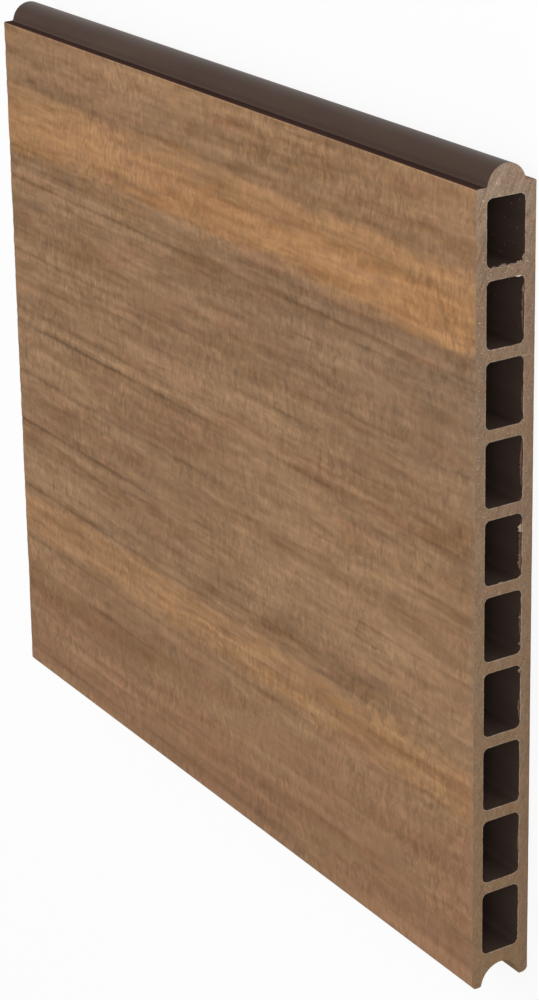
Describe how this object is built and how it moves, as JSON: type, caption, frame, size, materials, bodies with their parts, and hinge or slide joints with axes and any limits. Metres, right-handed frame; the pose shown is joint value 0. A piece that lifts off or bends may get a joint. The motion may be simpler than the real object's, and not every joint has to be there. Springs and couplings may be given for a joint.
{
  "type": "composite fence board",
  "caption": "Hollow extruded wood-plastic fence board with a flat woodgrain face, a round tongue along its top edge, a matching groove below and square cut ends.",
  "frame": {"origin": "middle of the footprint, on the back face that the board lies on", "axes": "+X along the extrusion, +Y across the board towards the tongue, +Z out of the woodgrain face"},
  "size_m": [0.34, 0.3074, 0.025],
  "materials": {
    "wood_composite": "matte woodgrain face, satin dark-brown tongue, raw sawn ends"
  },
  "bodies": {
    "root": {"fence_board": "wood_composite"}
  },
  "joints": []
}
